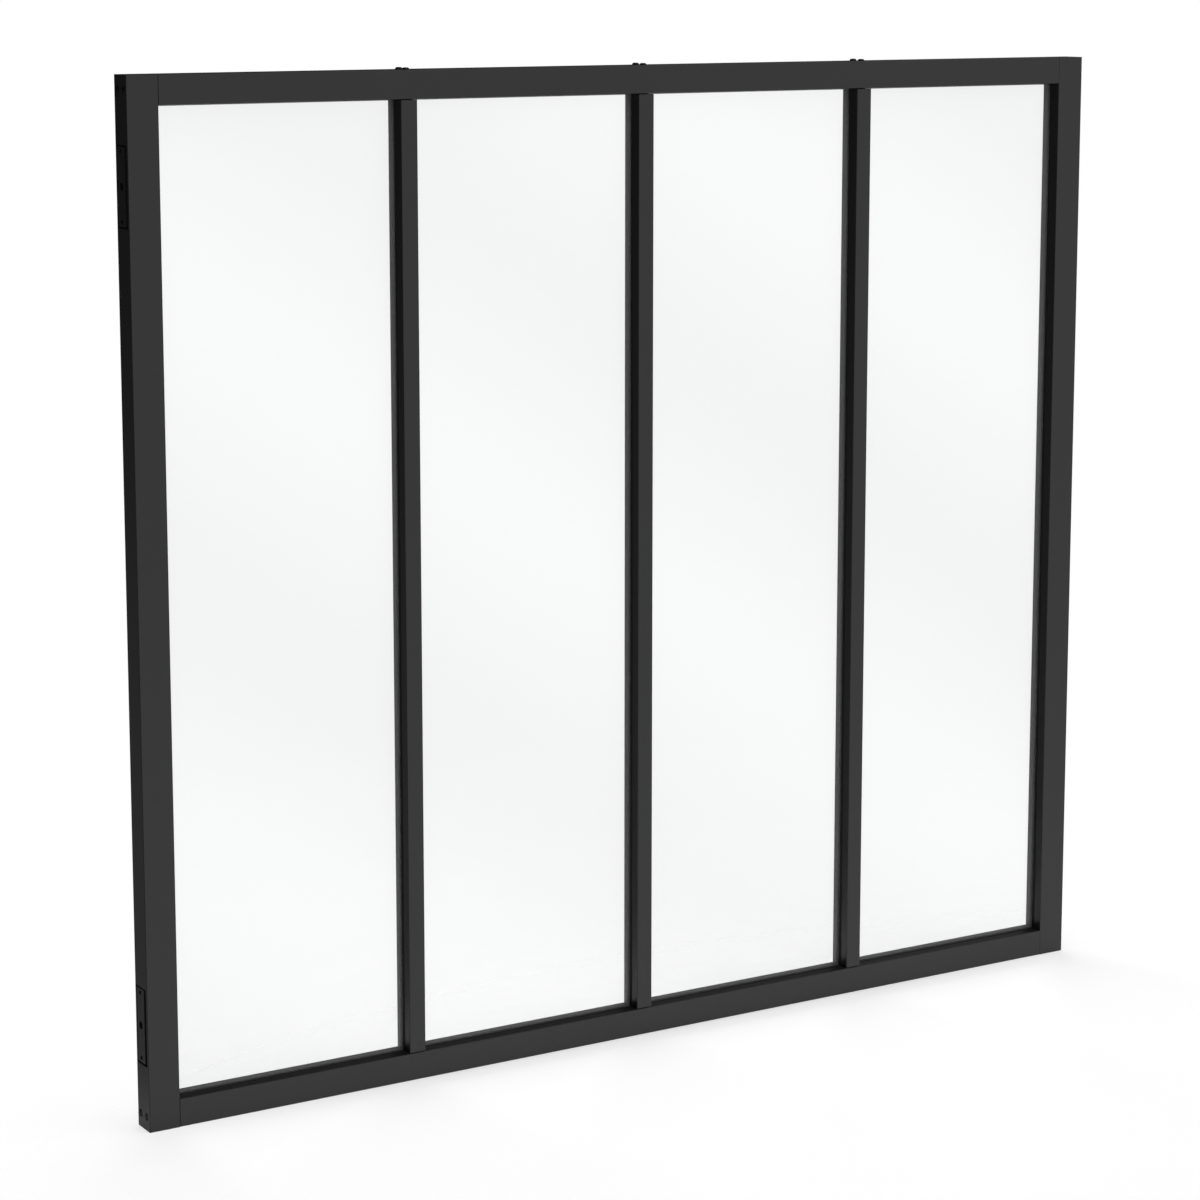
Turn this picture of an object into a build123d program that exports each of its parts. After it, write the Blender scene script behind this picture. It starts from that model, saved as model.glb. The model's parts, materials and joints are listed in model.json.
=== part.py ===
from build123d import *
import os

# Interior glass partition: a black aluminium frame of two stiles, two rails and three mullions
# that holds four clear panes between rubber gaskets and snap-in rear beads.
# Millimetres, +Z up, front of the partition towards -Y, origin at the middle of the base.

# Overall size
WIDTH = 1200.0
HEIGHT = 1080.0
DEPTH = 30.0
PANE_COUNT = 4

# Front faces of the profiles
STILE_FACE = 34.0
RAIL_FACE = 30.0
MULLION_FACE = 19.0

# Walls of the extruded profiles
WALL = 1.6
SIDE_WALL = 3.6
SEAT_WALL = 2.6
NOSE_BACK_WALL = 2.4
EDGE_RADIUS = 0.9

# Open joints between the noses of the profiles
RAIL_JOINT = 0.2
MULLION_JOINT = 1.0

# Glazing rebate, measured back from the front face
SHOULDER = 12.0
REBATE = 6.0
GASKET_THICKNESS = 3.4
GLASS_THICKNESS = 4.0
REAR_GASKET_THICKNESS = 1.0
GLASS_EDGE_GAP = 1.5
GASKET_EDGE_GAP = 1.0
GLASS_ARRIS = 0.5

# Rear beads, and how far beads and gaskets stand past the front shoulder
SIGHT_STEP = 1.7
GASKET_STEP = 0.3
BEAD_WALL = 1.3
BEAD_BEVEL = 3.0
BEAD_JOINT = 0.15
TONGUE_HEIGHT = 1.0
TONGUE_THICKNESS = 1.2
BEAD_GROOVE_FROM_BACK = 3.3
GROOVE_CLEARANCE = 0.1

# Gasket foot, measured from the edge of the front shoulder
FOOT_INSET = 3.0
FOOT_WIDTH = 1.8
FOOT_HEIGHT = 1.0
FOOT_END_GAP = 1.0
GASKET_BEVEL = 0.6

# Assembly screws, and the finned channels inside the profiles that they cut into
SCREW_DIAMETER = 4.0
SCREW_HEAD_DIAMETER = 7.6
SCREW_HEAD_HEIGHT = 2.2
SCREW_BITE = 24.0
SCREW_CLEARANCE = 0.2
CHANNEL_FIN = 1.4
CHANNEL_FROM_SHOULDER = 4.6
CHANNEL_FROM_BACK = 7.6
ACCESS_DIAMETER = 8.0

# Fixing plates sunk into the outer sides of the stiles, each with a slot into the nose in front of it
PLATE_LENGTH = 79.0
PLATE_THICKNESS = 2.0
PLATE_SUNK = 0.4
PLATE_GAP = 1.8
PLATE_FROM_FRONT = 9.0
PLATE_FROM_BACK = 2.0
PLATE_SLOT = 6.0
PLATE_FROM_END = 110.0
PLATE_HOLE_DIAMETER = 8.5
PLATE_WINDOW = 11.5

# Plugs that close the open ends of the stiles
PLUG_THICKNESS = 4.0
PLUG_CLEARANCE = 0.15

# Places that follow from the sizes above
STEM = MULLION_FACE - 2 * REBATE
BEAD_WIDTH = REBATE + SIGHT_STEP
GLASS_FRONT = SHOULDER + GASKET_THICKNESS
GLASS_BACK = GLASS_FRONT + GLASS_THICKNESS
BEAD_FRONT = GLASS_BACK + REAR_GASKET_THICKNESS
CHANNEL = SCREW_DIAMETER + SCREW_CLEARANCE
SCREW_DEPTHS = (SHOULDER - CHANNEL_FROM_SHOULDER, DEPTH - CHANNEL_FROM_BACK)
CHANNEL_BACKS = (SHOULDER - NOSE_BACK_WALL / 2, DEPTH - WALL / 2)
PLATE_RECESS = PLATE_THICKNESS + PLATE_SUNK
PLATE_WIDTH = DEPTH - PLATE_FROM_FRONT - PLATE_FROM_BACK
PLATE_CENTRE = PLATE_FROM_FRONT + PLATE_WIDTH / 2
RECESS_LENGTH = PLATE_LENGTH + 2 * PLATE_GAP
CLEAR_HEIGHT = HEIGHT - 2 * RAIL_FACE
CLEAR_WIDTH = (WIDTH - 2 * STILE_FACE - (PANE_COUNT - 1) * MULLION_FACE) / PANE_COUNT
BAY_PITCH = CLEAR_WIDTH + MULLION_FACE
BAY_CENTRES = [(i - (PANE_COUNT - 1) / 2) * BAY_PITCH for i in range(PANE_COUNT)]
MULLION_CENTRES = [(i - PANE_COUNT / 2) * BAY_PITCH for i in range(1, PANE_COUNT)]
PLATE_PLACES = (PLATE_FROM_END - HEIGHT / 2, HEIGHT / 2 - PLATE_FROM_END)
CORNER_PLACES = (RAIL_FACE / 2 - HEIGHT / 2, HEIGHT / 2 - RAIL_FACE / 2)
OVERCUT = 5.0

# Profiles are drawn with u from the outer edge towards the pane and v from the front face to the back,
# and run along the local Z axis. These locations turn them into the four sides of the frame.
LEFT = Pos(-WIDTH / 2, -DEPTH / 2, HEIGHT / 2)
RIGHT = Pos(WIDTH / 2, -DEPTH / 2, HEIGHT / 2) * Rot(0, 180, 0)
BOTTOM = Pos(0, -DEPTH / 2, 0) * Rot(0, -90, 0)
TOP = Pos(0, -DEPTH / 2, HEIGHT) * Rot(0, 90, 0)


def span(u0, u1, v0, v1):
    """Rectangle between two values of u and two of v."""
    return Pos((u0 + u1) / 2, (v0 + v1) / 2) * Rectangle(u1 - u0, v1 - v0)


def along(section, length):
    """Section extruded along Z, centred on the origin."""
    return Pos(0, 0, -length / 2) * extrude(section, length)


def rod(diameter, u0, u1, v, z):
    """Round bar or hole along u, from u0 to u1."""
    return Pos((u0 + u1) / 2, v, z) * Rot(0, 90, 0) * Cylinder(diameter / 2, u1 - u0)


def slab(u0, u1, width, height, v, z):
    """Block along u, from u0 to u1, with its middle at v and z."""
    return Pos((u0 + u1) / 2, v, z) * Box(u1 - u0, width, height)


def convex(sketch, corner):
    """Vertices of a sketch apart from its one inward corner."""
    return [v for v in sketch.vertices() if (v.center() - Vector(*corner)).length > EDGE_RADIUS]


def gasket_groove(edge, inward):
    """Groove in the back of a nose for a gasket foot; inward points from the edge into the nose."""
    middle = edge + inward * FOOT_INSET
    half = FOOT_WIDTH / 2 + GROOVE_CLEARANCE
    return span(middle - half, middle + half, SHOULDER - FOOT_HEIGHT - GROOVE_CLEARANCE, SHOULDER)


def bead_groove(seat, inward):
    """Groove in a rebate's seat for a bead's tongue."""
    middle = DEPTH - BEAD_GROOVE_FROM_BACK
    half = TONGUE_THICKNESS / 2 + GROOVE_CLEARANCE
    bottom = seat + inward * (TONGUE_HEIGHT + GROOVE_CLEARANCE)
    return span(min(seat, bottom), max(seat, bottom), middle - half, middle + half)


def screw_channel(u, v, back):
    """Two fins that a screw cuts into, standing on a wall at the given back."""
    half = CHANNEL / 2
    block = span(u - half - CHANNEL_FIN, u + half + CHANNEL_FIN, v - half, back)
    return block - span(u - half, u + half, v - half, v + half)


def chambers(face, outer_wall, inset):
    """Hollow of the nose and hollow of the body of a stile or rail, drawn in by an inset."""
    nose = span(outer_wall + inset, face - WALL - inset, WALL + inset, SHOULDER - NOSE_BACK_WALL - inset)
    body = span(outer_wall + inset, face - REBATE - SEAT_WALL - inset, SHOULDER + inset, DEPTH - WALL - inset)
    return nose, body


def edge_section(face, outer_wall, with_channels):
    """Section of a stile or rail: front nose, glazing rebate, two chambers and any screw channels."""
    seat = face - REBATE
    outline = span(0, face, 0, SHOULDER) + span(0, seat, 0, DEPTH)
    section = fillet(convex(outline, (seat, SHOULDER)), EDGE_RADIUS)
    for chamber in chambers(face, outer_wall, 0):
        section -= chamber
    if with_channels:
        for depth, back in zip(SCREW_DEPTHS, CHANNEL_BACKS):
            section += screw_channel(face / 2, depth, back)
    return section - gasket_groove(face, -1) - bead_groove(seat, -1)


def mullion_section():
    """Section of a mullion: a hollow nose and a stem between two rebates, with a screw channel in each."""
    half, stem = MULLION_FACE / 2, STEM / 2
    nose = fillet(span(-half, half, 0, SHOULDER).vertices(), EDGE_RADIUS)
    section = nose + span(-stem, stem, SHOULDER - NOSE_BACK_WALL, DEPTH)
    section -= span(-half + WALL, half - WALL, WALL, SHOULDER - NOSE_BACK_WALL)
    section += screw_channel(0, SCREW_DEPTHS[0], CHANNEL_BACKS[0])
    slot_front = SCREW_DEPTHS[1] - CHANNEL / 2
    section -= span(-CHANNEL / 2, CHANNEL / 2, slot_front, slot_front + CHANNEL)
    section -= span(-stem + WALL, stem - WALL, SHOULDER, slot_front - WALL)
    for side in (-1, 1):
        section -= gasket_groove(side * half, -side)
        section -= bead_groove(side * stem, -side)
    return section


def coped(bar, length, joint):
    """Bar with its nose cut back at both ends, to leave an open joint with another profile's nose."""
    cut = REBATE + joint
    for end in (-1, 1):
        notch = Box(4 * STILE_FACE, SHOULDER + OVERCUT, cut + OVERCUT)
        centre_z = end * (length / 2 + (OVERCUT - cut) / 2)
        bar -= Pos(0, (SHOULDER - OVERCUT) / 2, centre_z) * notch
    return bar


def inner_walls(face):
    """The wall next to the pane that each screw passes last, from its hollow side to its pane side."""
    return ((face - WALL, face), (face - REBATE - SEAT_WALL, face - REBATE))


def drilled(bar, face, outer_wall, places, mouth):
    """Screw holes through a profile at each place, with a mouth of the given width in its outer wall."""
    for z in places:
        for depth, (inside, outside) in zip(SCREW_DEPTHS, inner_walls(face)):
            bar -= rod(mouth, -OVERCUT, outer_wall, depth, z)
            bar -= slab(outer_wall, inside, mouth, mouth, depth, z)
            bar -= rod(CHANNEL, inside, outside, depth, z)
    return bar


def screw(depth, z, length):
    """Pan-head screw along u, with the underside of its head on the outer face."""
    head = Cylinder(SCREW_HEAD_DIAMETER / 2, SCREW_HEAD_HEIGHT, align=(Align.CENTER, Align.CENTER, Align.MAX))
    shank = Cylinder(SCREW_DIAMETER / 2, length, align=(Align.CENTER, Align.CENTER, Align.MIN))
    return Pos(0, depth, z) * Rot(0, 90, 0) * (head + shank)


def rail_screws():
    """Screws through the whole of a rail into the mullions."""
    lengths = [outside + SCREW_BITE for inside, outside in inner_walls(RAIL_FACE)]
    return [screw(v, z, length) for z in MULLION_CENTRES for v, length in zip(SCREW_DEPTHS, lengths)]


def stile():
    """Full-height side profile with its screw holes, and with a recess and a slot for each fixing plate."""
    bar = along(edge_section(STILE_FACE, SIDE_WALL, False), HEIGHT)
    bar = drilled(bar, STILE_FACE, SIDE_WALL, CORNER_PLACES, ACCESS_DIAMETER)
    for z in PLATE_PLACES:
        bar -= slab(0, PLATE_RECESS, PLATE_WIDTH, RECESS_LENGTH, PLATE_CENTRE, z)
        bar -= slab(0, SIDE_WALL, PLATE_SLOT, RECESS_LENGTH, PLATE_FROM_FRONT - PLATE_SLOT / 2, z)
        bar -= slab(0, SIDE_WALL, PLATE_WINDOW, PLATE_WINDOW, PLATE_CENTRE, z)
    return bar


def fixing_plate(z):
    """Steel plate that a wall bolt passes through."""
    plate = slab(PLATE_SUNK, PLATE_RECESS, PLATE_WIDTH, PLATE_LENGTH, PLATE_CENTRE, z)
    return plate - rod(PLATE_HOLE_DIAMETER, 0, SIDE_WALL, PLATE_CENTRE, z)


def end_plugs():
    """Plugs in the hollows of a stile, flush with both of its ends."""
    middle = (HEIGHT - PLUG_THICKNESS) / 2
    hollows = chambers(STILE_FACE, SIDE_WALL, PLUG_CLEARANCE)
    return [Pos(0, 0, end * middle) * along(hollow, PLUG_THICKNESS) for end in (-1, 1) for hollow in hollows]


def rail(mouth):
    """Horizontal profile between the stiles, drilled for the mullions' screws."""
    length = WIDTH - 2 * (STILE_FACE - REBATE)
    bar = coped(along(edge_section(RAIL_FACE, WALL, True), length), length, RAIL_JOINT)
    return drilled(bar, RAIL_FACE, WALL, MULLION_CENTRES, mouth)


def mullion(x):
    """Upright profile between the rails."""
    length = HEIGHT - 2 * (RAIL_FACE - REBATE)
    return Pos(x, -DEPTH / 2, HEIGHT / 2) * coped(along(mullion_section(), length), length, MULLION_JOINT)


def ring(grow_out, grow_in, v0, v1):
    """Flat frame around a pane's clear opening, between two depths, centred on the bay."""
    outer = Rectangle(CLEAR_WIDTH + 2 * grow_out, CLEAR_HEIGHT + 2 * grow_out)
    inner = Rectangle(CLEAR_WIDTH - 2 * grow_in, CLEAR_HEIGHT - 2 * grow_in)
    return Pos(0, v0, 0) * Rot(90, 0, 0) * extrude(outer - inner, v0 - v1)


def front_gasket():
    """Rubber frame between the noses and the glass, with a foot in each nose's groove."""
    gasket = ring(REBATE - GASKET_EDGE_GAP, GASKET_STEP, SHOULDER, GLASS_FRONT)
    front_face = gasket.faces().sort_by(Axis.Y)[0]
    gasket = chamfer(front_face.inner_wires()[0].edges(), GASKET_BEVEL)
    foot_v = SHOULDER - FOOT_HEIGHT / 2
    for side in (-1, 1):
        upright = Box(FOOT_WIDTH, FOOT_HEIGHT, CLEAR_HEIGHT - 2 * FOOT_END_GAP)
        level = Box(CLEAR_WIDTH - 2 * FOOT_END_GAP, FOOT_HEIGHT, FOOT_WIDTH)
        gasket += Pos(side * (CLEAR_WIDTH / 2 + FOOT_INSET), foot_v, 0) * upright
        gasket += Pos(0, foot_v, side * (CLEAR_HEIGHT / 2 + FOOT_INSET)) * level
    return gasket


def glass_pane():
    """Clear pane with ground edges."""
    bite = REBATE - GLASS_EDGE_GAP
    pane = Box(CLEAR_WIDTH + 2 * bite, GLASS_THICKNESS, CLEAR_HEIGHT + 2 * bite)
    arrises = pane.edges().group_by(Axis.Y)[0] + pane.edges().group_by(Axis.Y)[-1]
    return Pos(0, GLASS_FRONT + GLASS_THICKNESS / 2, 0) * chamfer(arrises, GLASS_ARRIS)


def bead(length):
    """Hollow snap-in bead with mitred ends, a bevelled back edge and a tongue for the seat's groove."""
    outline = span(0, BEAD_WIDTH, BEAD_FRONT, DEPTH)
    back_corner = outline.vertices().sort_by(Axis.X)[-2:].sort_by(Axis.Y)[-1]
    outline = chamfer(back_corner, BEAD_BEVEL)
    bar = along(outline - offset(outline, -BEAD_WALL, kind=Kind.INTERSECTION), length)
    tip = length / 2 - BEAD_JOINT
    inner = tip - BEAD_WIDTH
    mitre = Polygon((0, -tip), (BEAD_WIDTH, -inner), (BEAD_WIDTH, inner), (0, tip), align=None)
    bar = bar & (Rot(90, 0, 0) * extrude(mitre, -2 * DEPTH))
    tongue = Box(TONGUE_HEIGHT, TONGUE_THICKNESS, length - 2 * BEAD_WIDTH)
    return bar + Pos(-TONGUE_HEIGHT / 2, DEPTH - BEAD_GROOVE_FROM_BACK, 0) * tongue


def pane_beads(x):
    """The four beads of one bay, by side."""
    seat_width = CLEAR_WIDTH + 2 * REBATE
    seat_height = CLEAR_HEIGHT + 2 * REBATE
    centre = Pos(x, -DEPTH / 2, HEIGHT / 2)
    upright, level = bead(seat_height), bead(seat_width)
    return {
        "left": centre * Pos(-seat_width / 2, 0, 0) * upright,
        "right": centre * Pos(seat_width / 2, 0, 0) * Rot(0, 180, 0) * upright,
        "bottom": centre * Pos(0, 0, -seat_height / 2) * Rot(0, -90, 0) * level,
        "top": centre * Pos(0, 0, seat_height / 2) * Rot(0, 90, 0) * level,
    }


def build():
    """Every piece of the partition by name; a list holds the separate solids of one kind."""
    pieces = {
        "bottom_rail": BOTTOM * rail(ACCESS_DIAMETER),
        "top_rail": TOP * rail(CHANNEL),
        "top_mullion_screws": [TOP * s for s in rail_screws()],
    }
    upright = stile()
    for side, place in (("left", LEFT), ("right", RIGHT)):
        pieces[f"{side}_stile"] = place * upright
        pieces[f"{side}_lower_fixing_plate"] = place * fixing_plate(PLATE_PLACES[0])
        pieces[f"{side}_upper_fixing_plate"] = place * fixing_plate(PLATE_PLACES[1])
        pieces[f"{side}_stile_end_plugs"] = [place * plug for plug in end_plugs()]
    for number, x in enumerate(MULLION_CENTRES, start=1):
        pieces[f"mullion_{number}"] = mullion(x)
    gasket, pane = front_gasket(), glass_pane()
    rear_gasket = ring(REBATE - GASKET_EDGE_GAP, GASKET_STEP, GLASS_BACK, BEAD_FRONT)
    for number, x in enumerate(BAY_CENTRES, start=1):
        centre = Pos(x, -DEPTH / 2, HEIGHT / 2)
        pieces[f"pane_{number}_glass"] = centre * pane
        pieces[f"pane_{number}_front_gasket"] = centre * gasket
        pieces[f"pane_{number}_rear_gasket"] = centre * rear_gasket
        for side, solid in pane_beads(x).items():
            pieces[f"pane_{number}_{side}_bead"] = solid
    return pieces


os.makedirs("parts", exist_ok=True)
for name, piece in build().items():
    solids = [s for part in piece for s in part.solids()] if isinstance(piece, list) else piece.solids()
    shape = solids[0] if len(solids) == 1 else Compound(solids)
    export_step(shape, f"parts/{name}.step")
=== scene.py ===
"""Looks of an interior glass partition: finishes, small fasteners, studio and camera.

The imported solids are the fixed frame. This script dresses them, adds the screws that the solids leave out
and lights the partition on a white ground.
"""

from __future__ import annotations

import json
import logging
import math
from dataclasses import dataclass, replace
from enum import Enum

import bmesh
import bpy
from mathutils import Matrix, Vector

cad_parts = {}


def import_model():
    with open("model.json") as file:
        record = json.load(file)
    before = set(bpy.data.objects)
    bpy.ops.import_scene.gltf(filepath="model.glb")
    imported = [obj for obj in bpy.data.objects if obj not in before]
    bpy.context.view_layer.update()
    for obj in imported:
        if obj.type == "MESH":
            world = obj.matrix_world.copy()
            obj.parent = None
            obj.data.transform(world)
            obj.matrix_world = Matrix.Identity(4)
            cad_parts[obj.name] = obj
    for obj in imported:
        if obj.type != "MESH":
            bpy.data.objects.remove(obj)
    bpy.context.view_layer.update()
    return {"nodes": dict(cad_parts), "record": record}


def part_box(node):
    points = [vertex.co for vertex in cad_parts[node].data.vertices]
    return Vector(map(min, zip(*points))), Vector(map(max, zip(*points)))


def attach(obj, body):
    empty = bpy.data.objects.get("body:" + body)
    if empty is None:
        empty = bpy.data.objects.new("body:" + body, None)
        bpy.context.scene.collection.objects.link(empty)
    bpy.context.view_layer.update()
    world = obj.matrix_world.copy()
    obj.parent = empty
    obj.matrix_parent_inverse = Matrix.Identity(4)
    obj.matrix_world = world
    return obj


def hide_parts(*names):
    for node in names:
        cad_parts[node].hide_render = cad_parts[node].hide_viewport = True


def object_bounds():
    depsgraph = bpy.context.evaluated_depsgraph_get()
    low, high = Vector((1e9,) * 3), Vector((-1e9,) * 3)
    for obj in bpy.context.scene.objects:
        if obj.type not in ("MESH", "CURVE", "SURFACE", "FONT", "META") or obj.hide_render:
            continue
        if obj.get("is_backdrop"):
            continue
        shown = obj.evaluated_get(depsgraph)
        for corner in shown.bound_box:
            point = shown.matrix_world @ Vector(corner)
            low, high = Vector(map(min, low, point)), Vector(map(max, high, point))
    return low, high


LOG = logging.getLogger("partition")
MM = 0.001
WELD = 0.001 * MM
BODY = "root"
Colour = tuple[float, float, float]
Triple = tuple[float, float, float]
Span = tuple[float, float]


class Slot(Enum):
    """Material slots of the record."""

    FRAME = "frame"
    GLASS = "glass"
    GASKET = "gasket"
    PLATE = "plate"
    SCREW = "screw"
    PLUG = "plug"


class Facing(Enum):
    """Directions in which a screw's head faces."""

    UP = (0.0, 0.0, 1.0)
    DOWN = (0.0, 0.0, -1.0)
    LEFT = (-1.0, 0.0, 0.0)
    RIGHT = (1.0, 0.0, 0.0)


class Blend(Enum):
    """Kinds of Mix node, each with its data type and the places of its two inputs and its output."""

    NUMBER = ("FLOAT", 2, 3, 0)
    COLOUR = ("RGBA", 6, 7, 2)


class Graph:
    """Short calls for building a node tree."""

    def __init__(self, tree: bpy.types.NodeTree) -> None:
        """Empty a tree and keep it.

        Args:
            tree: Node tree of a material or a world.
        """
        self.tree = tree
        tree.nodes.clear()

    def add(self, kind: str, **settings: object) -> bpy.types.Node:
        """Add a node.

        Args:
            kind: Node type.
            settings: Properties to set on the node.

        Returns:
            The new node.
        """
        node = self.tree.nodes.new(kind)
        for name, value in settings.items():
            setattr(node, name, value)
        return node

    def feed(self, socket: bpy.types.NodeSocket, source: object) -> None:
        """Link a socket to another, or set its value.

        Args:
            socket: Input to feed.
            source: Output socket, number, or tuple of numbers.
        """
        if isinstance(source, bpy.types.NodeSocket):
            self.tree.links.new(source, socket)
        else:
            socket.default_value = source

    def math(self, operation: str, *inputs: object, clamp: bool = False) -> bpy.types.NodeSocket:
        """Add a Math node.

        Args:
            operation: Name of the operation.
            inputs: Sockets or numbers.
            clamp: Whether the result is kept between 0 and 1.

        Returns:
            The node's result.
        """
        node = self.add("ShaderNodeMath", operation=operation, use_clamp=clamp)
        for socket, source in zip(node.inputs, inputs):
            self.feed(socket, source)
        return node.outputs[0]

    def remap(
        self, value: object, low: float, high: float, start: float, end: float
    ) -> bpy.types.NodeSocket:
        """Ease a value from one range to another.

        Args:
            value: Socket to read.
            low: Lower end of its range.
            high: Upper end of its range.
            start: Result at the lower end.
            end: Result at the upper end.

        Returns:
            The eased value.
        """
        node = self.add("ShaderNodeMapRange", interpolation_type="SMOOTHSTEP")
        for socket, source in zip(node.inputs, (value, low, high, start, end)):
            self.feed(socket, source)
        return node.outputs[0]

    def noise(self, grain: float, detail: float) -> bpy.types.NodeSocket:
        """Add noise on Object coordinates.

        Args:
            grain: Size of the grain in metres.
            detail: Levels of finer noise.

        Returns:
            The noise, between 0 and 1.
        """
        place = self.add("ShaderNodeTexCoord").outputs["Object"]
        node = self.add("ShaderNodeTexNoise")
        self.feed(node.inputs["Vector"], place)
        self.feed(node.inputs["Scale"], 1 / grain)
        self.feed(node.inputs["Detail"], detail)
        return node.outputs[0]

    def along(self, place: bpy.types.NodeSocket, way: Triple) -> bpy.types.NodeSocket:
        """Measure how far a place lies along a direction.

        Args:
            place: Socket with the place.
            way: The direction.

        Returns:
            The distance.
        """
        node = self.add("ShaderNodeVectorMath", operation="DOT_PRODUCT")
        self.feed(node.inputs[0], place)
        self.feed(node.inputs[1], way)
        return node.outputs["Value"]

    def mix(self, blend: Blend, amount: object, start: object, end: object) -> bpy.types.NodeSocket:
        """Mix two numbers or two colours.

        Args:
            blend: Kind of the mix.
            amount: Share of the second one.
            start: Socket or value of the first one.
            end: Socket or value of the second one.

        Returns:
            The mixed number or colour.
        """
        data_type, first, second, result = blend.value
        node = self.add("ShaderNodeMix", data_type=data_type)
        self.feed(node.inputs[0], amount)
        self.feed(node.inputs[first], start)
        self.feed(node.inputs[second], end)
        return node.outputs[result]

    def tint(self, amount: object, dark: Colour, light: Colour) -> bpy.types.NodeSocket:
        """Blend two colours.

        Args:
            amount: Share of the lighter colour.
            dark: Darker colour.
            light: Lighter colour.

        Returns:
            The blended colour.
        """
        return self.mix(Blend.COLOUR, amount, (*dark, 1.0), (*light, 1.0))

    def bump(self, height: object, depth: float, strength: float) -> bpy.types.NodeSocket:
        """Turn a height into a normal.

        Args:
            height: Socket with the height.
            depth: Height in metres at 1.
            strength: Strength of the relief.

        Returns:
            The normal.
        """
        node = self.add("ShaderNodeBump")
        self.feed(node.inputs["Strength"], strength)
        self.feed(node.inputs["Distance"], depth)
        self.feed(node.inputs["Height"], height)
        return node.outputs[0]

    def mix_shaders(self, amount: object, *shaders: bpy.types.NodeSocket) -> bpy.types.NodeSocket:
        """Mix two shaders.

        Args:
            amount: Share of the second shader.
            shaders: The two shaders.

        Returns:
            The mixed shader.
        """
        node = self.add("ShaderNodeMixShader")
        for socket, source in zip(node.inputs, (amount, *shaders)):
            self.feed(socket, source)
        return node.outputs[0]

    def show(self, kind: str, surface: bpy.types.NodeSocket) -> None:
        """Link a shader to the tree's output.

        Args:
            kind: Node type of the output.
            surface: Shader to show.
        """
        output = self.add(kind)
        self.feed(output.inputs["Surface"], surface)


def blank_material(name: str) -> tuple[bpy.types.Material, Graph]:
    """Make a material with an empty node tree.

    Args:
        name: Name of the material.

    Returns:
        The material and the graph of its nodes.
    """
    made = bpy.data.materials.new(name)
    made.use_nodes = True
    return made, Graph(made.node_tree)


def in_scene(name: str, data: bpy.types.ID) -> bpy.types.Object:
    """Make an object and link it to the scene.

    Args:
        name: Name of the object.
        data: Its mesh, lamp or camera.

    Returns:
        The new object.
    """
    made = bpy.data.objects.new(name, data)
    bpy.context.scene.collection.objects.link(made)
    return made


def scaled(colour: Colour, factor: float) -> Colour:
    """Make a colour lighter or darker.

    Args:
        colour: Colour to change.
        factor: Factor on each channel.

    Returns:
        The changed colour.
    """
    return tuple(channel * factor for channel in colour)


@dataclass(frozen=True)
class Coating:
    """Opaque finish with a fine grain, a soft peel and slow changes of tone."""

    name: str
    colour: Colour
    roughness: Span
    specular: float
    grain: float
    grain_depth: float
    peel: float
    peel_depth: float
    tone_spread: float = 0.08
    tone_size: float = 0.12
    tone_detail: float = 3.0
    grain_detail: float = 2.0
    peel_detail: float = 1.0
    grain_span: Span = (0.3, 0.7)

    def material(self) -> bpy.types.Material:
        """Make the finish's material.

        Returns:
            The new material.
        """
        made, graph = blank_material(self.name)
        shader = graph.add("ShaderNodeBsdfPrincipled")
        tone = graph.noise(self.tone_size, self.tone_detail)
        low, high = scaled(self.colour, 1 - self.tone_spread), scaled(self.colour, 1 + self.tone_spread)
        graph.feed(shader.inputs["Base Color"], graph.tint(tone, low, high))
        grain = graph.noise(self.grain, self.grain_detail)
        graph.feed(shader.inputs["Roughness"], graph.remap(grain, *self.grain_span, *self.roughness))
        graph.feed(shader.inputs["Specular IOR Level"], self.specular)
        peel_share = self.peel_depth / self.grain_depth
        peel = graph.noise(self.peel, self.peel_detail)
        height = graph.math("MULTIPLY_ADD", peel, peel_share, grain)
        graph.feed(shader.inputs["Normal"], graph.bump(height, self.grain_depth, 1.0))
        graph.show("ShaderNodeOutputMaterial", shader.outputs[0])
        return made


@dataclass(frozen=True)
class ClearGlass:
    """Clear float glass with painted sheen: its tint is lighter and darker in broad, faint, slanted bands
    that stand in for reflections.
    """

    name: str = "clear_glass"
    # Tints at the dark and light sides of the painted sheen bands, which stand in for reflections on the
    # pane.
    dark: Colour = (0.937, 0.943, 0.942)
    light: Colour = (0.987, 0.993, 0.992)
    sheen_band_slope: float = 0.637
    sheen_band_width: float = 0.575
    sheen_band_height: float = 0.505
    ior: float = 1.5
    haze: float = 0.07
    roughness: float = 0.0

    def material(self) -> bpy.types.Material:
        """Make the glass, which lets lamps through.

        Returns:
            The new material.
        """
        made, graph = blank_material(self.name)
        place = graph.add("ShaderNodeTexCoord").outputs["Object"]
        # Painted reflection: a cosine across slanted bands lightens and darkens the tint like sheen on the
        # pane.
        across = graph.along(place, (self.sheen_band_slope, 0.0, 1.0))
        turn = 2 * math.pi / self.sheen_band_width
        phase = graph.math("MULTIPLY_ADD", across, turn, -turn * self.sheen_band_height)
        painted_sheen_band = graph.math("MULTIPLY_ADD", graph.math("COSINE", phase), 0.5, 0.5)
        shader = graph.add("ShaderNodeBsdfPrincipled")
        graph.feed(shader.inputs["Base Color"], graph.tint(painted_sheen_band, self.dark, self.light))
        graph.feed(shader.inputs["Roughness"], self.roughness)
        graph.feed(shader.inputs["IOR"], self.ior)
        graph.feed(shader.inputs["Transmission Weight"], 1 - self.haze)
        rays = graph.add("ShaderNodeLightPath").outputs
        lamps = graph.math("ADD", rays["Is Shadow Ray"], rays["Is Diffuse Ray"])
        passed = graph.math("ADD", lamps, rays["Glossy Depth"], clamp=True)
        clear = graph.add("ShaderNodeBsdfTransparent")
        pane = graph.mix_shaders(passed, shader.outputs[0], clear.outputs[0])
        graph.show("ShaderNodeOutputMaterial", pane)
        return made


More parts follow.
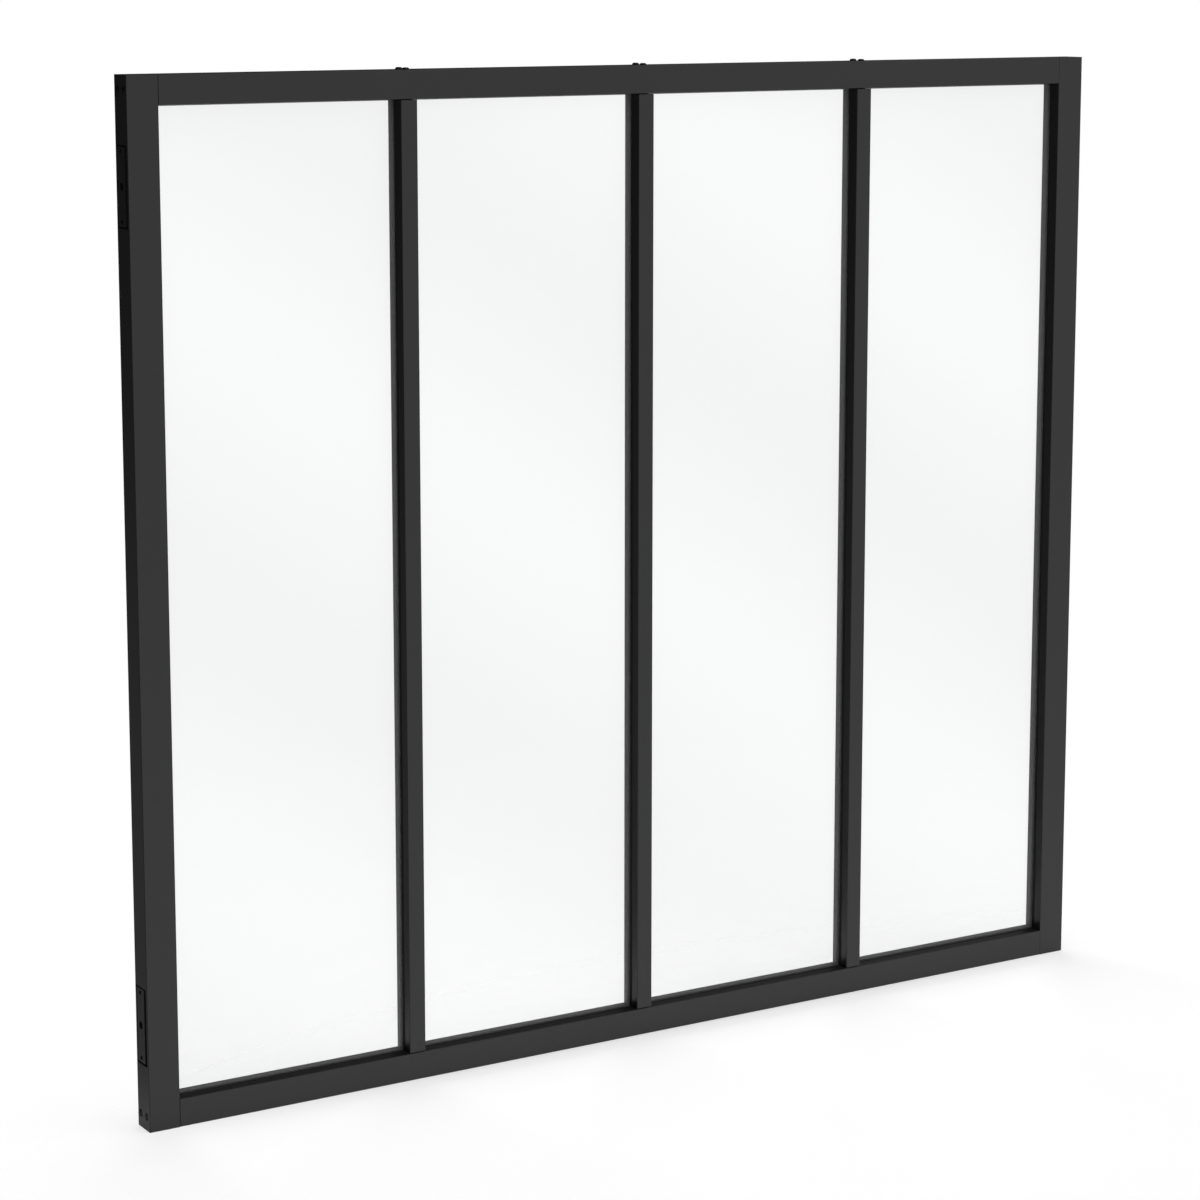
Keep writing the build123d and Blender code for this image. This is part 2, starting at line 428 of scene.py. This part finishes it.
FINISHES: dict[Slot, Coating | ClearGlass] = {
    Slot.FRAME: Coating(
        name="black_powder_coat",
        colour=(0.009, 0.0091, 0.0093),
        roughness=(0.38, 0.46),
        specular=0.5,
        grain=0.5 * MM,
        grain_depth=0.02 * MM,
        peel=2.5 * MM,
        peel_depth=0.03 * MM,
    ),
    Slot.GLASS: ClearGlass(),
    Slot.GASKET: Coating(
        name="black_rubber",
        colour=(0.008, 0.008, 0.008),
        roughness=(0.62, 0.78),
        specular=0.25,
        grain=0.3 * MM,
        grain_depth=0.02 * MM,
        peel=4 * MM,
        peel_depth=0.02 * MM,
    ),
    Slot.PLATE: Coating(
        name="black_coated_steel",
        colour=(0.0095, 0.0096, 0.0098),
        roughness=(0.36, 0.46),
        specular=0.5,
        grain=0.4 * MM,
        grain_depth=0.015 * MM,
        peel=1.5 * MM,
        peel_depth=0.02 * MM,
    ),
    Slot.SCREW: Coating(
        name="black_screw_steel",
        colour=(0.004, 0.004, 0.0041),
        roughness=(0.24, 0.32),
        specular=0.2,
        grain=0.2 * MM,
        grain_depth=0.006 * MM,
        peel=0.8 * MM,
        peel_depth=0.006 * MM,
    ),
    Slot.PLUG: Coating(
        name="black_plug_plastic",
        colour=(0.018, 0.018, 0.018),
        roughness=(0.5, 0.62),
        specular=0.4,
        grain=0.4 * MM,
        grain_depth=0.02 * MM,
        peel=2 * MM,
        peel_depth=0.02 * MM,
    ),
}
MATT_SCREW = replace(FINISHES[Slot.SCREW], name="black_oxide_steel", roughness=(0.62, 0.74), specular=0.06)


class Wardrobe:
    """Holds one material for each finish and puts it on pieces."""

    def __init__(self) -> None:
        """Start with no materials."""
        self.materials: dict[str, bpy.types.Material] = {}

    def dress(self, piece: bpy.types.Object, finish: Coating | ClearGlass) -> None:
        """Put a finish's material on a piece.

        Args:
            piece: Object to dress.
            finish: Finish that it gets.
        """
        if finish.name not in self.materials:
            self.materials[finish.name] = finish.material()
        piece.data.materials.clear()
        piece.data.materials.append(self.materials[finish.name])


@dataclass(frozen=True)
class Screw:
    """Cross-recess screw with a domed head and a rolled thread, drawn head up with its seat at zero.

    A sleeve under the head spans a hollow profile, and the head then stands that much above the seat.

    Attributes:
        rim_share: Upright part of the head's rim, as a share of its height.
        recess_taper: Width of the recess at its floor, as a share of its width at the top.
        ridge_share: Half of the thread's ridge, as a share of the pitch.
        ridge_foot: Radius of the ridge's foot, as a share of the core's.
        point_radii: Length of the point in radii of the core, at most half of the shank.
        start_radii: Start of the thread above the tip, in radii of the core.
        plain_radii: Length of the shank that has no thread, in radii of the core.
    """

    head_radius: float
    head_height: float
    shank_radius: float
    length: float
    flat_radius: float
    recess_reach: float
    recess_width: float
    recess_depth: float
    sleeve: float = 0.0
    thread_depth: float = 0.35 * MM
    thread_pitch: float = 1.5 * MM
    rim_share: float = 0.25
    dome_steps: int = 6
    segments: int = 32
    recess_taper: float = 0.45
    ridge_share: float = 0.35
    ridge_foot: float = 0.97
    point_radii: float = 2.0
    start_radii: float = 2.5
    plain_radii: float = 4.0

    @property
    def head_top(self) -> float:
        """Height of the head's flat above the seat."""
        return self.sleeve + self.head_height

    @property
    def core_radius(self) -> float:
        """Radius of the shank under the thread."""
        return self.shank_radius - self.thread_depth

    def build(self) -> bmesh.types.BMesh:
        """Model the screw.

        Returns:
            A bmesh with the head, the recess and the threaded shank.
        """
        shape = bmesh.new()
        self._turn_body(shape)
        self._cut_recess(shape)
        bmesh.ops.remove_doubles(shape, verts=shape.verts[:], dist=WELD)
        bmesh.ops.recalc_face_normals(shape, faces=shape.faces[:])
        self._roll_thread(shape)
        return shape

    def _turn_body(self, shape: bmesh.types.BMesh) -> None:
        """Spin the outline of the head, seat, shank and point.

        Args:
            shape: Bmesh to add to.
        """
        rise = self.head_radius - self.flat_radius
        rim = self.rim_share * self.head_height
        outline = [Vector((self.flat_radius, 0, self.head_top))]
        for step in range(1, self.dome_steps + 1):
            angle = math.pi / 2 * step / self.dome_steps
            across = self.flat_radius + rise * math.sin(angle)
            up = self.sleeve + rim + (self.head_height - rim) * math.cos(angle)
            outline.append(Vector((across, 0, up)))
        core = self.core_radius
        taper = min(self.point_radii * core, self.length / 2)
        outline += [
            Vector((self.head_radius, 0, 0)),
            Vector((core, 0, 0)),
            Vector((core, 0, -self.length + taper)),
            Vector((0, 0, -self.length)),
        ]
        points = [shape.verts.new(corner) for corner in outline]
        edges = [shape.edges.new(pair) for pair in zip(points, points[1:])]
        bmesh.ops.spin(
            shape,
            geom=points + edges,
            cent=(0, 0, 0),
            axis=(0, 0, 1),
            angle=2 * math.pi,
            steps=self.segments,
            use_merge=True,
        )

    def _cut_recess(self, shape: bmesh.types.BMesh) -> None:
        """Fill the flat of the head around a cross and sink the cross with a taper.

        Args:
            shape: Bmesh to add to.
        """
        reach, half = self.recess_reach, self.recess_width / 2
        arm = ((half, half), (half, reach), (-half, reach))
        corners = []
        for quarter in range(4):
            turned = Matrix.Rotation(quarter * math.pi / 2, 3, "Z")
            corners += [shape.verts.new(turned @ Vector((x, y, self.head_top))) for x, y in arm]
        cross = [shape.edges.new((a, b)) for a, b in zip(corners, corners[1:] + corners[:1])]
        rim = [edge for edge in shape.edges if edge.is_boundary]
        bmesh.ops.triangle_fill(shape, use_beauty=True, use_dissolve=False, edges=rim + cross)
        sunk = bmesh.ops.extrude_edge_only(shape, edges=cross)["geom"]
        floor = [part for part in sunk if isinstance(part, bmesh.types.BMVert)]
        bmesh.ops.translate(shape, verts=floor, vec=(0, 0, -self.recess_depth))
        bmesh.ops.scale(shape, verts=floor, vec=(self.recess_taper, self.recess_taper, 1))
        bottom = [part for part in sunk if isinstance(part, bmesh.types.BMEdge)]
        bmesh.ops.edgeloop_fill(shape, edges=[edge for edge in bottom if edge.is_boundary])

    def _roll_thread(self, shape: bmesh.types.BMesh) -> None:
        """Wind a ridge along the shank.

        Args:
            shape: Bmesh to add to.
        """
        core = self.core_radius
        turns = int((self.length - self.plain_radii * core) / self.thread_pitch)
        if turns < 1:
            return
        start = -self.length + self.start_radii * core
        half = self.thread_pitch * self.ridge_share
        foot = core * self.ridge_foot
        ridge = [
            shape.verts.new((foot, 0, start - half)),
            shape.verts.new((self.shank_radius, 0, start)),
            shape.verts.new((foot, 0, start + half)),
        ]
        edges = [shape.edges.new(pair) for pair in zip(ridge, ridge[1:] + ridge[:1])]
        face = shape.faces.new(ridge)
        per_turn = self.segments // 2
        bmesh.ops.spin(
            shape,
            geom=ridge + edges + [face],
            cent=(0, 0, 0),
            axis=(0, 0, 1),
            dvec=(0, 0, self.thread_pitch / per_turn),
            angle=2 * math.pi * turns,
            steps=per_turn * turns,
        )
        bmesh.ops.recalc_face_normals(shape, faces=shape.faces[:])


@dataclass
class ScrewSet:
    """Screws that share one piece and face one way, each with its seat."""

    name: str
    facing: Facing
    placed: list[tuple[Screw, Vector]]
    finish: Coating = FINISHES[Slot.SCREW]

    def build(self) -> bpy.types.Object:
        """Model every screw at its seat.

        Returns:
            The object that holds them.
        """
        whole = bmesh.new()
        turned = Vector((0, 0, 1)).rotation_difference(Vector(self.facing.value)).to_matrix().to_4x4()
        for screw, seat in self.placed:
            single = screw.build()
            bmesh.ops.transform(single, matrix=Matrix.Translation(seat) @ turned, verts=single.verts[:])
            part = bpy.data.meshes.new("screw_part")
            single.to_mesh(part)
            single.free()
            whole.from_mesh(part)
            bpy.data.meshes.remove(part)
        mesh = bpy.data.meshes.new(self.name)
        whole.to_mesh(mesh)
        whole.free()
        return in_scene(self.name, mesh)

    def dress(self, piece: bpy.types.Object, wardrobe: Wardrobe) -> None:
        """Finish the screws and let them ride on the partition.

        Args:
            piece: The screws' object.
            wardrobe: Holder of the materials.
        """
        wardrobe.dress(piece, self.finish)
        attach(piece, BODY)


@dataclass
class Fasteners:
    """All the screws of the partition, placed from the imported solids."""

    nose_wall: float = 1.6 * MM
    seat_wall: float = 2.6 * MM
    head_sunk: float = 0.25 * MM
    sleeve_radius: float = 3.4 * MM
    short_length: float = 26 * MM
    plate_screw_spacing: float = 69.6 * MM
    rebate: float = 6 * MM
    mullions: int = 3
    assembly: Screw = Screw(
        head_radius=3.8 * MM,
        head_height=2.2 * MM,
        shank_radius=2.0 * MM,
        length=54 * MM,
        flat_radius=1.5 * MM,
        recess_reach=1.35 * MM,
        recess_width=0.75 * MM,
        recess_depth=1.3 * MM,
    )
    plate_screw: Screw = Screw(
        head_radius=2.2 * MM,
        head_height=0.35 * MM,
        shank_radius=1.4 * MM,
        length=1.4 * MM,
        flat_radius=1.6 * MM,
        recess_reach=1.4 * MM,
        recess_width=0.6 * MM,
        recess_depth=0.3 * MM,
        segments=24,
    )

    def sets(self) -> list[ScrewSet]:
        """Work out where every screw sits.

        Returns:
            The sets of screws.
        """
        low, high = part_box("top_mullion_screws")
        depths = (low.y + self.assembly.head_radius, high.y - self.assembly.head_radius)
        bars = [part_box(f"mullion_{number}") for number in range(1, self.mullions + 1)]
        columns = [sum(corner.x for corner in bar) / 2 for bar in bars]
        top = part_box("top_rail")
        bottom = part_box("bottom_rail")
        on_top = [(self.assembly, Vector((x, y, top[1].z))) for x in columns for y in depths]
        short = replace(self.assembly, length=self.short_length)
        rests = (bottom[1].z - self.nose_wall, bottom[1].z - self.rebate - self.seat_wall)
        below = [(short, Vector((x, y, z))) for x in columns for y, z in zip(depths, rests)]
        found = [ScrewSet("top_screws", Facing.UP, on_top), ScrewSet("sill_screws", Facing.DOWN, below)]
        levels = [sum(corner.z for corner in rail) / 2 for rail in (bottom, top)]
        for side, facing in (("left", Facing.LEFT), ("right", Facing.RIGHT)):
            outward = facing.value[0]
            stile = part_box(f"{side}_stile")
            outer, inner = (stile[0].x, stile[1].x) if outward < 0 else (stile[1].x, stile[0].x)
            walls = (inner + outward * self.nose_wall, inner + outward * (self.rebate + self.seat_wall))
            corners = []
            for x, y in zip(walls, depths):
                sleeve = abs(outer - x) - self.head_sunk - short.head_height
                sleeved = replace(short, head_radius=self.sleeve_radius, sleeve=sleeve)
                corners += [(sleeved, Vector((x, y, z))) for z in levels]
            on_plates = [(self.plate_screw, seat) for seat in self._on_plates(side, outward)]
            found.append(ScrewSet(f"{side}_corner_screws", facing, corners))
            found.append(ScrewSet(f"{side}_plate_screws", facing, on_plates, MATT_SCREW))
        return found

    def _on_plates(self, side: str, outward: float) -> list[Vector]:
        """Seats of the small screws on one stile's fixing plates.

        Args:
            side: Name of the stile's side.
            outward: Sign of the direction out of the stile.

        Returns:
            The seats.
        """
        seats = []
        for level in ("lower", "upper"):
            low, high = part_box(f"{side}_{level}_fixing_plate")
            face = low.x if outward < 0 else high.x
            centre = (low + high) / 2
            for step in (-0.5, 0.5):
                seats.append(Vector((face, centre.y, centre.z + step * self.plate_screw_spacing)))
        return seats


@dataclass(frozen=True)
class Softbox:
    """Square lamp that faces the middle of the partition and isn't seen itself."""

    name: str
    place: Triple
    size: float
    power: float

    def hang(self) -> None:
        """Hang the lamp and turn it to the partition."""
        lamp = bpy.data.lights.new(self.name, "AREA")
        lamp.shape = "SQUARE"
        lamp.size = self.size
        lamp.energy = self.power
        box = in_scene(self.name, lamp)
        low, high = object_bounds()
        place = Vector(self.place)
        box.location = place
        box.rotation_euler = ((low + high) / 2 - place).to_track_quat("-Z", "Y").to_euler()
        box.visible_glossy = False
        box.visible_camera = False
        box.visible_transmission = False


@dataclass
class Studio:
    """White ground, soft light from the front right, above and behind, and the camera.

    Attributes:
        floor_fade: Width of the floor's faded rim, as a share of its reach.
        floor_glow: White added to the floor where it is looked at.
        bright_way: Direction of the room's bright side.
        room_span: Ends, along that direction, of the change from the dim side to the bright one.
        ground_rim: Rise of the directions between which the grey ground ends.
    """

    floor_centre: Span = (0.1, -0.55)
    floor_reach: Span = (1.35, 0.95)
    floor_fade: float = 0.45
    floor_segments: int = 64
    floor_colour: Colour = (0.82, 0.82, 0.82)
    floor_glow: float = 0.28
    bright_way: Triple = (0.6, -0.8, 0.0)
    room_span: Span = (-0.5, 0.6)
    dim_side: float = 0.008
    bright_side: float = 0.78
    ground_rim: Span = (-0.21, -0.165)
    ground_level: float = 0.25
    softboxes: tuple[Softbox, ...] = (
        Softbox("key_softbox", place=(2.6, -3.4, 2.6), size=2.4, power=26.0),
        Softbox("top_softbox", place=(-0.3, -0.2, 3.4), size=3.0, power=46.0),
        Softbox("back_softbox", place=(0.8, 2.75, 2.2), size=3.0, power=54.0),
    )
    camera_place: Triple = (-1.853, -2.963, 1.186)
    camera_turn: float = 31.33
    camera_tilt: float = -9.07
    camera_lens: float = 96.79
    camera_shift: float = -0.1

    def build(self) -> None:
        """Set up the ground, the light and the camera."""
        bpy.context.scene.view_settings.view_transform = "Standard"
        self._surroundings()
        self._floor()
        for softbox in self.softboxes:
            softbox.hang()
        self._camera()

    def _surroundings(self) -> None:
        """Make the world white where it is looked at, straight or through glass.

        Light and gloss see a room instead. It is bright in front on the right and dim on the other side,
        over a grey ground below the horizon.
        """
        world = bpy.data.worlds.new("studio")
        bpy.context.scene.world = world
        world.use_nodes = True
        graph = Graph(world.node_tree)
        direction = graph.add("ShaderNodeTexCoord").outputs["Generated"]
        facing = graph.along(direction, self.bright_way)
        room = graph.remap(facing, *self.room_span, self.dim_side, self.bright_side)
        rise = graph.add("ShaderNodeSeparateXYZ")
        graph.feed(rise.inputs[0], direction)
        ground = graph.remap(rise.outputs["Z"], *self.ground_rim, self.ground_level, 0.0)
        rays = graph.add("ShaderNodeLightPath").outputs
        through = graph.math("SUBTRACT", rays["Is Transmission Ray"], rays["Is Diffuse Ray"], clamp=True)
        seen = graph.math("ADD", rays["Is Camera Ray"], through, clamp=True)
        level = graph.mix(Blend.NUMBER, seen, graph.math("MAXIMUM", room, ground), 1.0)
        white = graph.add("ShaderNodeBackground")
        graph.feed(white.inputs["Color"], (1.0, 1.0, 1.0, 1.0))
        graph.feed(white.inputs["Strength"], level)
        graph.show("ShaderNodeOutputWorld", white.outputs[0])

    def _floor(self) -> None:
        """Lay a pale floor that takes the shadow and fades into the white ground at its rim."""
        shape = bmesh.new()
        bmesh.ops.create_circle(shape, cap_ends=True, radius=1.0, segments=self.floor_segments)
        bmesh.ops.scale(shape, vec=(*self.floor_reach, 1), verts=shape.verts[:])
        bmesh.ops.translate(shape, vec=(*self.floor_centre, 0), verts=shape.verts[:])
        mesh = bpy.data.meshes.new("floor")
        shape.to_mesh(mesh)
        shape.free()
        floor = in_scene("floor", mesh)
        mesh.materials.append(self._floor_paint())
        floor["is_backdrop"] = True

    def _floor_paint(self) -> bpy.types.Material:
        """Make the floor's material.

        Returns:
            The new material.
        """
        made, graph = blank_material("floor_paint")
        place = graph.add("ShaderNodeMapping", vector_type="TEXTURE")
        graph.feed(place.inputs["Vector"], graph.add("ShaderNodeTexCoord").outputs["Object"])
        graph.feed(place.inputs["Location"], (*self.floor_centre, 0))
        graph.feed(place.inputs["Scale"], (*self.floor_reach, 1))
        round_fade = graph.add("ShaderNodeTexGradient", gradient_type="SPHERICAL")
        graph.feed(round_fade.inputs[0], place.outputs[0])
        solid = graph.remap(round_fade.outputs["Fac"], 0.0, self.floor_fade, 0.0, 1.0)
        rays = graph.add("ShaderNodeLightPath").outputs
        direct = graph.math("ADD", rays["Is Camera Ray"], rays["Is Transmission Ray"])
        seen = graph.math("ADD", direct, rays["Is Glossy Ray"], clamp=True)
        paint = graph.add("ShaderNodeBsdfDiffuse")
        graph.feed(paint.inputs["Color"], (*self.floor_colour, 1))
        glow = graph.add("ShaderNodeEmission")
        graph.feed(glow.inputs["Strength"], graph.math("MULTIPLY", seen, self.floor_glow))
        both = graph.add("ShaderNodeAddShader")
        graph.feed(both.inputs[0], paint.outputs[0])
        graph.feed(both.inputs[1], glow.outputs[0])
        clear = graph.add("ShaderNodeBsdfTransparent")
        ground = graph.mix_shaders(solid, clear.outputs[0], both.outputs[0])
        graph.show("ShaderNodeOutputMaterial", ground)
        return made

    def _camera(self) -> None:
        """Stand the camera at the picture's viewing angle."""
        lens = bpy.data.cameras.new("camera")
        lens.lens = self.camera_lens
        lens.shift_y = self.camera_shift
        camera = in_scene("camera", lens)
        camera.location = self.camera_place
        tilt, turn = math.radians(90 + self.camera_tilt), math.radians(-self.camera_turn)
        camera.rotation_euler = (tilt, 0, turn)
        bpy.context.scene.camera = camera


def main() -> None:
    """Load the frame, dress it, add the screws and light it."""
    logging.basicConfig(level=logging.INFO, format="%(name)s: %(message)s")
    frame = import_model()
    wardrobe = Wardrobe()
    for part in frame["record"]["subparts"]:
        wardrobe.dress(frame["nodes"][part["node"]], FINISHES[Slot(part["material_slot"])])
        LOG.info("%s dressed as %s", part["node"], part["material_slot"])
    for group in Fasteners().sets():
        piece = group.build()
        group.dress(piece, wardrobe)
        if group.name == "top_screws":
            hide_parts("top_mullion_screws")
        LOG.info("%s: %d screws, %d faces", group.name, len(group.placed), len(piece.data.polygons))
    Studio().build()


if __name__ == "__main__":
    main()
